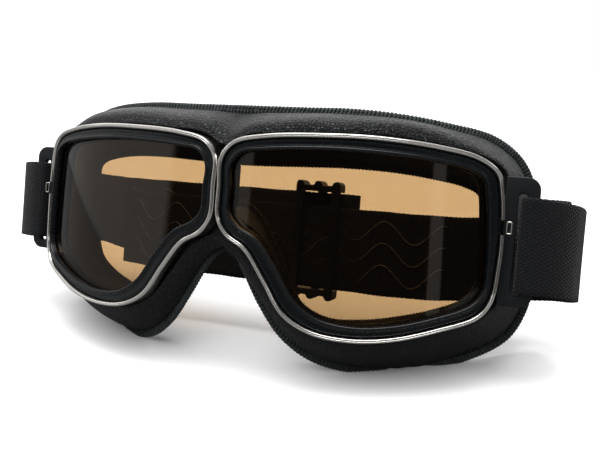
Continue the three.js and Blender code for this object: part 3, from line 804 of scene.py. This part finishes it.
def pad_corners(t):
    """For each t: the cover's start, rim, mouth, inner edge and glued base, and the way the rim runs."""
    front, rim, mouth, inner = [guide(t) for guide in pad_guides]
    along = pad_guides[0].along(t)
    front = front + COVER_START_OUT * np.stack([-along[:, 1], along[:, 0]], 1)
    temple = COVER_START_TEMPLE * eased(np.abs(front[:, 0]), 78, 86)
    place = lambda p, y: np.stack([p[:, 0], y, p[:, 1]], 1)
    start = place(front, behind_front(front[:, 0], COVER_START_DEPTH) + temple)
    rim3 = place(rim, rim_y(rim[:, 0], rim[:, 1]))
    mouth3 = place(mouth, face_y(mouth[:, 0], mouth[:, 1]))
    inner3 = place(inner, behind_front(inner[:, 0], PAD_DEPTH + LEATHER))
    run = pad_guides[1].along(t)
    base = pad_guides[0](t) - BASE_INSET * np.stack([-along[:, 1], along[:, 0]], 1)
    base3 = place(base, behind_front(base[:, 0], BASE_DEPTH))
    return start, rim3, mouth3, inner3, base3, np.stack([run[:, 0], 0 * run[:, 0], run[:, 1]], 1)


def swell_direction(across, run, away):
    """Square to both the skin and its run, on the side that away points to."""
    out = unit(np.cross(across, run))
    return out * np.sign((out * away).sum(1))[:, None]


def pad_surface(t):
    """The pad's skin for each t: cover from frame to rim, lining to mouth, wall, and base on the frame."""
    start, rim, mouth, inner, base, run = pad_corners(t)
    across = rim - start
    out = swell_direction(across, run, rim - mouth)
    rows = []
    brow = np.exp(-((rim[:, 0] / 16) ** 2)) * (rim[:, 2] > 0)
    wander = 1 + 0.05 * np.sin(9 * 2 * math.pi * t + 1) + 0.04 * np.sin(23 * 2 * math.pi * t)
    temple = eased(np.abs(rim[:, 0]), 55, 86)
    lobe = eased(-rim[:, 2], 15, 45)
    fullness = ROLL_BULGE * wander * (1 - 0.3 * brow) * (1 - 0.8 * temple) * (1 - 0.4 * lobe)
    fullness = fullness[:, None]
    for share in np.linspace(0, 1, COVER_PARTS):
        rise = math.sin(math.pi * share ** 0.6) ** 0.8 if 0 < share < 1 else 0
        groove = 0.8 * math.exp(-(((share - 0.93) / 0.07) ** 2)) if share < 1 else 0
        rows.append(start + share * across + (rise * fullness - groove) * out)
    back = swell_direction(mouth - rim, run, np.tile([0, 1.0, 0], (len(t), 1)))
    for share in np.linspace(0, 1, LINING_PARTS)[1:]:
        rows.append(rim + share * (mouth - rim) + 1.1 * math.sin(math.pi * share) * back)
    for share in np.linspace(0, 1, WALL_PARTS)[1:]:
        rows.append(mouth + share * (inner - mouth))
    for share in np.linspace(0, 1, BASE_PARTS)[1:]:
        rows.append(inner + share * (base - inner))
    return rest_on(np.stack(rows, 1), STITCH_ROOM)


pad_t, RIM_LENGTH = even(pad_guides[1], PAD_STEPS)
pad_points = pad_surface(pad_t)
PAD_COLUMNS = pad_points.shape[1]
RIM_COLUMN = COVER_PARTS - 1
MOUTH_COLUMN = RIM_COLUMN + LINING_PARTS - 1
INNER_COLUMN = MOUTH_COLUMN + WALL_PARTS - 1


def inflate(points):
    """Cloth simulation of the pad's skin: it is sewn fast at the frame and at both stitched edges, and the
    foam's pressure swells it between them."""
    faces = grid_faces(PAD_STEPS, PAD_COLUMNS, True, False)
    obj = mesh_object("pad_skin", points.reshape(-1, 3), faces)
    held = obj.vertex_groups.new(name="sewn")
    sewn = [0, RIM_COLUMN, MOUTH_COLUMN] + list(range(INNER_COLUMN, PAD_COLUMNS))
    held.add([i * PAD_COLUMNS + c for i in range(PAD_STEPS) for c in sewn], 1.0, "REPLACE")
    cloth = obj.modifiers.new("Cloth", "CLOTH")
    values = {
        "quality": 6, "mass": 0.3, "tension_stiffness": 30, "compression_stiffness": 30,
        "shear_stiffness": 12, "bending_stiffness": 3.0, "vertex_group_mass": "sewn",
        "use_pressure": True, "uniform_pressure_force": 4.0,
    }
    for key, value in values.items():
        setattr(cloth.settings, key, value)
    cloth.settings.effector_weights.gravity = 0
    cloth.collision_settings.use_collision = False
    scene = bpy.context.scene
    for number in range(1, CLOTH_FRAMES + 1):
        scene.frame_set(number)
    done = obj.evaluated_get(bpy.context.evaluated_depsgraph_get()).to_mesh()
    moved = np.array([v.co for v in done.vertices]).reshape(points.shape)
    scene.frame_set(1)
    bpy.data.objects.remove(obj)
    start = to_row(points.reshape(-1, 3)).reshape(points.shape)
    shift = (moved - start) / MM
    far = np.linalg.norm(shift, axis=2, keepdims=True)
    shift *= np.minimum(1, CLOTH_CAP / np.maximum(far, 1e-9))
    return rest_on(points + shift @ TO_ROW, STITCH_ROOM)


pad_points = inflate(pad_points)


def shell(name, outer, look, node):
    """A closed ring of leather, SKIN thick, whose outer surface is outer."""
    steps, columns = outer.shape[:2]
    along = np.roll(outer, -1, 0) - np.roll(outer, 1, 0)
    across = np.gradient(outer, axis=1)
    normal = unit(np.cross(along, across))
    middle = pad_points.mean(axis=1, keepdims=True)
    if ((middle - outer) * normal).sum() < 0:
        normal = -normal
    inner = outer + SKIN * normal
    points = np.concatenate([outer, inner[:, ::-1]], 1)
    faces = grid_faces(steps, 2 * columns, True, True)
    obj = mesh_object(name, points.reshape(-1, 3), faces)
    sharpen(obj, 60)
    return give(obj, look, node=node)


def puckers(points):
    """Draws the skin in where each stitch pulls at the rim, and lets it swell between stitches."""
    made = points.copy()
    steps = len(points)
    phase = np.arange(steps) * (RIM_LENGTH / steps)
    uneven = 1.3 * np.sin(phase / 11.0) + 2.1 * np.sin(phase / 37.0)
    pull = 0.5 + 0.5 * np.cos(2 * math.pi * phase / 5.2 + uneven)
    middle = points.mean(axis=1, keepdims=True)
    for column in range(1, PAD_COLUMNS - 1):
        if column in (RIM_COLUMN, MOUTH_COLUMN):
            continue
        near_rim = math.exp(-((column - RIM_COLUMN) / 2.4) ** 2)
        near_mouth = math.exp(-((column - MOUTH_COLUMN) / 1.8) ** 2)
        inwards = unit(middle[:, 0] - points[:, column])
        made[:, column] += 0.28 * (near_rim + 0.8 * near_mouth) * pull[:, None] * inwards
    return rest_on(made, STITCH_ROOM)


pad_points = puckers(pad_points)
cover = shell("leather_roll", pad_points[:, : RIM_COLUMN + 1], LEATHER_LOOK, "leather_cover")
lining_points = pad_points[:, RIM_COLUMN:].copy()
lining_points[:, 0] = 0.75 * lining_points[:, 0] + 0.25 * lining_points[:, 1]
lining = shell("face_pad_lining", lining_points, LINING_LOOK, "face_lining")
for piece in (cover, lining):
    fine = piece.modifiers.new("Subdivision", "SUBSURF")
    fine.levels = fine.render_levels = 1


def foam_filling():
    """The foam under the skin: the skin's own section drawn in, and cut back from the glued base."""
    section = pad_points[:, 1: INNER_COLUMN + 1]
    middle = section.mean(axis=1, keepdims=True)
    inside = middle + FOAM_SHARE * (section - middle)
    faces = grid_faces(PAD_STEPS, inside.shape[1], True, True)
    obj = mesh_object("foam_filling", inside.reshape(-1, 3), faces)
    give(obj, FOAM_LOOK, node="foam_core")


foam_filling()


CORE_RADIUS, TURN_POINTS = 0.62, 13


def whip_stitch(name, column, pitch, leg, node, full):
    """Turns of thread laid side by side over a sewn edge, each one slanting on to the next. full is how
    thick the thread and its core are, against the inner edge's."""
    edge = pad_points[:, column]
    closed = np.vstack([edge, edge[:1]])
    lengths = np.concatenate([[0], np.cumsum(np.linalg.norm(np.diff(closed, axis=0), axis=1))])
    total = lengths[-1]
    first, second = unit(pad_points[:, column - 1] - edge), unit(pad_points[:, column + 1] - edge)
    corner = unit(-first - second)
    off_first = unit(corner - (corner * first).sum(1, keepdims=True) * first)
    off_second = unit(corner - (corner * second).sum(1, keepdims=True) * second)

    def at(field, s):
        s = s % total
        return np.array([np.interp(s, lengths, np.append(field[:, k], field[0, k])) for k in range(3)])

    bundle = Bundle()
    for lift in (STITCH_LIFT * full, -0.4):
        core = rest_on(edge + lift * corner, CORE_RADIUS * full)
        bundle.add(*tube(core, CORE_RADIUS * full, 8, closed=True))
    count = int(total / pitch)
    for i in range(count):
        lean = (0.5 + 0.1 * math.sin(i * 1.7) + random.uniform(-0.1, 0.1)) * pitch
        reach = leg * random.uniform(0.85, 1.1)
        line = []
        # each point of a turn: how far along either side of the edge, off that side, and out from the edge
        up = [(reach, 0, 0, 0), (0.55 * reach, 0, 0.4 * full, 0), (0.1, 0, 0.66 * full, 0.45 * full)]
        crest = (0, 0, 0, (STITCH_LIFT + 0.55) * full)
        down = [(second_leg, first_leg, off, out) for first_leg, second_leg, off, out in reversed(up)]
        for k, (along_first, along_second, off, out) in enumerate([*up, crest, *down]):
            spot = total * i / count + lean * (k / 3 - 1)
            step = at(edge, spot) + along_first * at(first, spot) + along_second * at(second, spot)
            face = at(off_first, spot) if k < 3 else at(off_second, spot)
            line.append(step + off * face + out * at(corner, spot))
        smooth_line = Smooth(line, False)(np.linspace(0, 1, TURN_POINTS))
        thick = 0.16 + 0.15 * full * np.sin(np.linspace(0, math.pi, TURN_POINTS)) ** 0.5
        bundle.add(*tube(rest_on(smooth_line, 0.26), thick, 6))
    give(bundle.object(name), THREAD_LOOK, node=node)


whip_stitch("outer_whip_stitch", RIM_COLUMN, 1.3, 2.2, "edge_thread_outer", 1.4)
whip_stitch("inner_whip_stitch", MOUTH_COLUMN, 1.2, 1.5, "edge_thread_inner", 1.0)

# ---------------- the strap
BAND_STATIONS = 640


def strap_curve(piece):
    """A strap's middle line from above: sewn tail, turn round the bracket's bar, side and back."""
    angles = [math.pi / 2 + math.pi * i / 6 for i in range(7)]
    half_x = STRAP_TURN_R * STRAP_TURN_FLAT
    turn = [[STRAP_TURN_X + half_x * math.cos(a), STRAP_TURN_Y + STRAP_TURN_R * math.sin(a)] for a in angles]
    rear_y, across = piece["rear_y"], piece["across"]
    rear = [[STRAIGHT_X + out, rear_y + behind] for out, behind in STRAP_LEAD_IN]
    rear += [[STRAIGHT_X, rear_y], [(STRAIGHT_X + across[0][0]) / 2, rear_y]]
    rear += [[x, rear_y + behind] for x, behind in across]
    return Smooth(STRAP_TAIL + turn + STRAP_SIDE + rear, False)


def band_frame(piece, t):
    """Middle line, direction and facing of the strap for each t; facing points to the head side."""
    curve = strap_curve(piece)
    at = curve(t)
    along = curve.along(t)
    middle = STRAP_Z + (piece["rear_z"] - STRAP_Z) * eased(t * (len(curve.p) - 1), *STRAP_SINK)
    centre = np.stack([at[:, 0], at[:, 1], middle], 1)
    facing = np.stack([-along[:, 1], along[:, 0], 0 * middle], 1)
    return centre, facing


def strap_mesh(name, side):
    """A woven band: rounded selvedges, a slightly dished face and a gentle ripple along each edge."""
    piece = STRAPS[side]
    t, length = even(strap_curve(piece), BAND_STATIONS, False)
    centre, facing = band_frame(piece, t)
    half_w, half_t = STRAP_WIDTH / 2, STRAP_THICK / 2
    section = [(u * (half_w - 0.5), half_t * (0.93 + 0.07 * u * u)) for u in np.linspace(-1, 1, 19)]
    section += [(half_w - 0.12, half_t * 0.72), (half_w, 0.0), (half_w - 0.12, -half_t * 0.72)]
    section += [(-z, -out) for z, out in section]
    travel = np.linspace(0, length, BAND_STATIONS)
    ripple = 0.08 * np.sin(travel / 2.9) + 0.22 * np.abs(np.sin(math.pi * travel / 1.7)) - 0.2
    points, band = [], []
    for c, f, s, r in zip(centre, facing, travel, ripple):
        for z, out in section:
            edge = (z / half_w) ** 3
            points.append(c + f * out + np.array([0, 0, z + r * edge]))
            band.append((s, z, out))
    faces = grid_faces(BAND_STATIONS, len(section), False, True) + end_caps(BAND_STATIONS, len(section))
    obj = mesh_object(name, points, faces, mirror=piece["side"] < 0)
    attribute = obj.data.attributes.new("band", "FLOAT_VECTOR", "POINT")
    attribute.data.foreach_set("vector", np.array(band, np.float32).ravel())
    sharpen(obj, 70)
    give(obj, WEBBING_LOOK, node=f"strap_{side}")


GRIP_STATIONS, GRIP_RADIUS, GRIP_ROWS = 900, 0.22, (-7.7, 0.0, 7.7)
GRIP_WAVE, GRIP_PERIOD = 3.7, 21


def grip_lines(name, side):
    """Three wavy beads of silicone along the head side of a strap's rear run."""
    piece = STRAPS[side]
    bundle = Bundle()
    t, length = even(strap_curve(piece), GRIP_STATIONS, False)
    centre, facing = band_frame(piece, t)
    travel = np.linspace(0, length, GRIP_STATIONS)
    rear = (np.arange(GRIP_STATIONS) > 400) & (centre[:, 0] < 66) & (travel < length - 2)
    x = piece["side"] * centre[:, 0]
    worn = 0.2 * eased(x, -20, -14) * (1 - eased(x, 36, 42))  # lower where the slider rides over them
    lift = (STRAP_THICK / 2 - 0.03 - worn)[:, None]
    for height in GRIP_ROWS:
        wave = height + GRIP_WAVE * np.sin(2 * math.pi * travel / GRIP_PERIOD)
        line = centre + facing * lift + np.stack([0 * wave, 0 * wave, wave], 1)
        bundle.add(*tube(line[rear][::2], GRIP_RADIUS, 6))
    give(bundle.object(name, mirror=piece["side"] < 0), SILICONE_LOOK)


TACK_ROWS, TACK_LENGTH, TACK_SHIFT, TACK_SWING = 46, 26, 0.45, 0.8


def tack(name, side):
    """Two rows of close zigzag thread through the strap's tail and its main run."""
    piece = STRAPS[side]
    low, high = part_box(f"strap_tack_{side}")
    middle = [(low[k] + high[k]) / 2 / MM for k in range(3)]
    upright = (np.array(middle) - OFFSET) @ TO_ROW
    place = np.array([abs(upright[0]), upright[1]])
    along = strap_curve(piece).along(0.04)[0]
    towards = np.array([along[1], -along[0]])
    bundle = Bundle()
    for shift in (-TACK_SHIFT, TACK_SHIFT):
        line = []
        for i in range(TACK_ROWS):
            z = STRAP_Z + TACK_LENGTH * (i / (TACK_ROWS - 1) - 0.5)
            swing = TACK_SWING if i % 2 else -TACK_SWING
            line.append((*(place + along * shift + towards * swing), z))
        bundle.add(*tube(line, 0.24, 6))
    give(bundle.object(name, mirror=piece["side"] < 0), THREAD_LOOK, node=f"strap_tack_{side}")


for side in STRAPS:
    strap_mesh(f"elastic_strap_{side}", side)
    grip_lines(f"grip_lines_{side}", side)
for side in STRAPS:
    tack(f"tack_thread_{side}", side)


def moulded_slider():
    """The slider's CAD shape with its edges moulded round."""
    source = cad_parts["slider"]
    obj = placed("strap_slider", source.data.copy())
    remesh = obj.modifiers.new("Remesh", "REMESH")
    remesh.mode = "VOXEL"
    remesh.voxel_size = 0.00028
    soften = obj.modifiers.new("Smooth", "SMOOTH")
    soften.factor = 0.6
    soften.iterations = 6
    bpy.context.view_layer.update()
    done = bpy.data.meshes.new_from_object(obj.evaluated_get(bpy.context.evaluated_depsgraph_get()))
    obj.modifiers.clear()
    obj.data = done
    done.polygons.foreach_set("use_smooth", [True] * len(done.polygons))
    give(obj, SLIDER_LOOK, body="slider", node="slider")


moulded_slider()

# ---------------- floor, light and camera
scene = bpy.context.scene
scene.view_settings.view_transform = "Standard"
scene.view_settings.look = "None"


def stage_floor():
    """A white sweep that reads as white, while throwing little light back up at the dark pad."""
    bpy.ops.mesh.primitive_plane_add(size=6)
    floor = bpy.context.object
    floor.name = "studio_floor"
    n = Nodes("pale_floor")
    seen = n.new("ShaderNodeLightPath").outputs["Is Camera Ray"]
    tone = n.noise(0.4, 2)
    shown, bounced = [n.new("ShaderNodeBsdfDiffuse") for _ in range(2)]
    n.link(n.colours(tone, (0.86, 0.86, 0.86), (0.88, 0.88, 0.88)), shown.inputs["Color"])
    bounced.inputs["Color"].default_value = (0.13, 0.13, 0.13, 1)
    n.blend(seen, bounced, shown)
    floor.data.materials.append(n.material)


def studio_world():
    """White where it is looked at. As light, a dim room: a card at the left, two upright strips, a bright low
    wall behind, a faint ceiling and a narrow level strip all round."""
    n = Nodes("studio", world=True)
    apart = n.new("ShaderNodeSeparateXYZ")
    n.link(n.place, apart.inputs[0])
    x, y, z = apart.outputs
    azimuth = n.math("ARCTAN2", x, n.times(y, -1.0))
    card = lambda value, low, high, bright: n.spread(value, low, high, 0.0, bright)
    strip = lambda low, high: n.times(
        card(azimuth, low, low + 0.01, 0.3), card(azimuth, high, high - 0.01, 1.0)
    )
    cards = (
        card(azimuth, -0.74, -0.78, 0.45),
        strip(-0.50, -0.32),
        strip(0.745, 0.845),
        n.times(card(y, 0.45, 0.75, 1.0), card(z, 0.62, 0.5, 0.85)),
        card(z, 0.6, 0.95, 0.35),
        n.times(card(z, 0.40, 0.42, 0.8), card(z, 0.52, 0.50, 1.0)),
    )
    light = 0.03
    for one in cards:
        light = n.math("ADD", one, light)
    seen = n.new("ShaderNodeLightPath").outputs["Is Camera Ray"]
    shade = n.new("ShaderNodeBackground")
    shade.inputs["Color"].default_value = (1, 1, 1, 1)
    n.link(n.math("MAXIMUM", light, seen), shade.inputs["Strength"])
    n.link(shade.outputs[0], n.out.inputs["Surface"])
    scene.world = n.material


def soft_sun(name, towards, power, spread_degrees, glossy):
    """A light as broad as a large softbox; glossy says whether surfaces mirror it."""
    data = bpy.data.lights.new(name, "SUN")
    data.energy = power
    data.angle = math.radians(spread_degrees)
    lamp = placed(name, data)
    lamp.visible_glossy = glossy
    lamp.rotation_euler = Vector(towards).to_track_quat("Z", "Y").to_euler()


stage_floor()
studio_world()
soft_sun("overhead_key", (-0.06, 0.05, 1.0), 1.6, 40, True)
soft_sun("front_fill", (0.0, -0.45, 0.89), 3.1, 70, False)

CAMERA_AZIMUTH, CAMERA_ELEVATION, CAMERA_DISTANCE = 21.43, 13.9, 0.246
LOOK_AT = to_row([[16.76, 5.75, -5.69]])[0]
azimuth, elevation = math.radians(CAMERA_AZIMUTH), math.radians(CAMERA_ELEVATION)
back = Vector((
    math.sin(azimuth) * math.cos(elevation), -math.cos(azimuth) * math.cos(elevation), math.sin(elevation)
))
camera_data = bpy.data.cameras.new("camera")
camera_data.sensor_width = 36
camera_data.lens = 42
camera_data.shift_x, camera_data.shift_y = 0.0038, -0.00925
camera_data.clip_start = 0.01
camera = placed("camera", camera_data)
camera.location = Vector(LOOK_AT) + back * CAMERA_DISTANCE
camera.rotation_euler = back.to_track_quat("Z", "Y").to_euler()
scene.camera = camera
